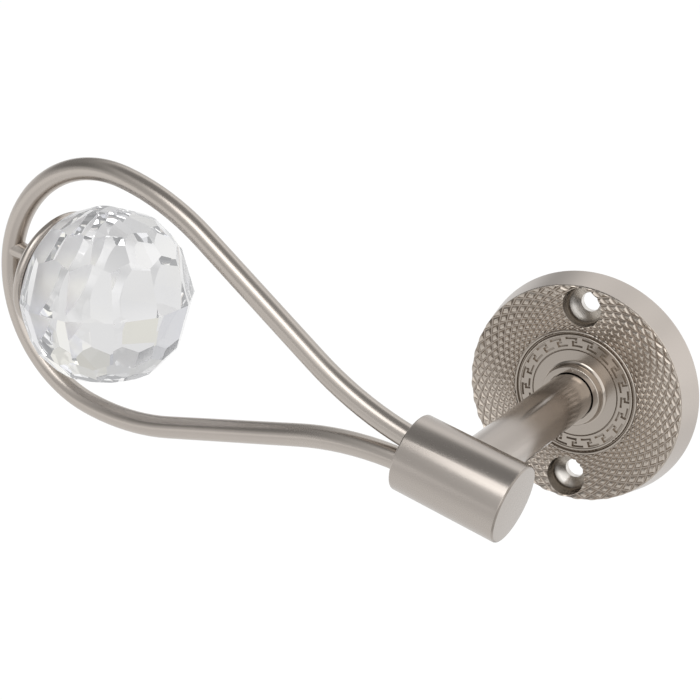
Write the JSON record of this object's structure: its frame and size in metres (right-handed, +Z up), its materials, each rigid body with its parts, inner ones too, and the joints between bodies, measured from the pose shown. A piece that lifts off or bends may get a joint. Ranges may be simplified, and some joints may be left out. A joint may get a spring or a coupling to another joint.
{
  "type": "curtain holdback",
  "caption": "Wall-mounted curtain holdback: round knurled rose with a key-fret ring, straight stem, cross barrel and a bent-rod teardrop loop that carries a cut crystal ball in a metal cup.",
  "frame": {"origin": "middle of the wall plate's back face, halfway between the two wall-screw holes, on the wall plane", "axes": "+Y into the wall, so the room is towards -Y; +Z up, along the line of the two screw holes; +X to the right as seen from the room, so the loop reaches out to -X"},
  "size_m": [0.1492, 0.0807, 0.0778],
  "materials": {
    "satin_nickel": "satin nickel plate, fine brushed sheen, slightly warm",
    "polished_nickel": "satin nickel plate, turned smoother so that it mirrors the plate softly",
    "screw_steel": "plain zinc-plated steel, hidden behind the plate",
    "crystal": "clear polished cut crystal"
  },
  "bodies": {
    "root": {"wall_plate": "satin_nickel", "stem": "polished_nickel", "stem_screw": "screw_steel", "barrel": "satin_nickel", "wire_loop": "satin_nickel", "ball_cup": "satin_nickel", "crystal_ball": "crystal"}
  },
  "joints": []
}
